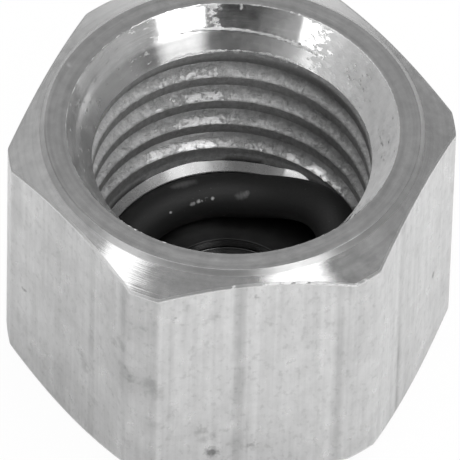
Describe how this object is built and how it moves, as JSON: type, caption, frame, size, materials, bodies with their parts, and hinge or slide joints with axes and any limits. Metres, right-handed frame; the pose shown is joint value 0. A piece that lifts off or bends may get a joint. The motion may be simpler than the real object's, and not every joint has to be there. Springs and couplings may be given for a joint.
{
  "type": "service port cap",
  "caption": "Hexagon cap nut with a blind internal thread and a rubber sealing ring, which closes and seals a refrigerant service port.",
  "frame": {"origin": "centre of the closed end's flat face, on the surface that the cap stands on", "axes": "+Z along the thread's axis, out of the mouth; +Y and -Y face two of the six flats; +X passes through a corner"},
  "size_m": [0.0159, 0.0142, 0.0111],
  "materials": {
    "turned_metal": null,
    "seal_rubber": "matt black moulded rubber"
  },
  "bodies": {
    "root": {"cap_body": "turned_metal", "seal_ring": "seal_rubber"}
  },
  "joints": []
}
